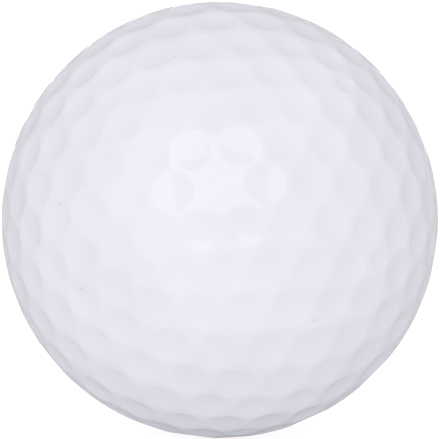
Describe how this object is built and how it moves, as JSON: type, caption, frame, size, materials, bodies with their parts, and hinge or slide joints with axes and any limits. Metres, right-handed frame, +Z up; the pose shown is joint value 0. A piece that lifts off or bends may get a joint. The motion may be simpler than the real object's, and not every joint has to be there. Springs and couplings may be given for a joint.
{
  "type": "floating golf ball",
  "caption": "Two-piece floating golf ball: a light rubber core sealed in a glossy white dimpled cover of two welded half shells.",
  "frame": {"origin": "centre of the ball", "axes": "+Z is up, as the ball lies in the picture; +Y points away from the viewer and +X to the viewer's right. The upper pole of the dimple pattern leans 21.5 degrees back and 5.7 degrees left of +Z."},
  "size_m": [0.0426, 0.0426, 0.0426],
  "materials": {
    "cover_ionomer": "white ionomer resin with a faint blue tint under a clear gloss coat",
    "core_rubber": "matt moulded rubber with pale specks of light filler"
  },
  "bodies": {
    "root": {"core": "core_rubber", "cover_upper": "cover_ionomer", "cover_lower": "cover_ionomer"}
  },
  "joints": []
}
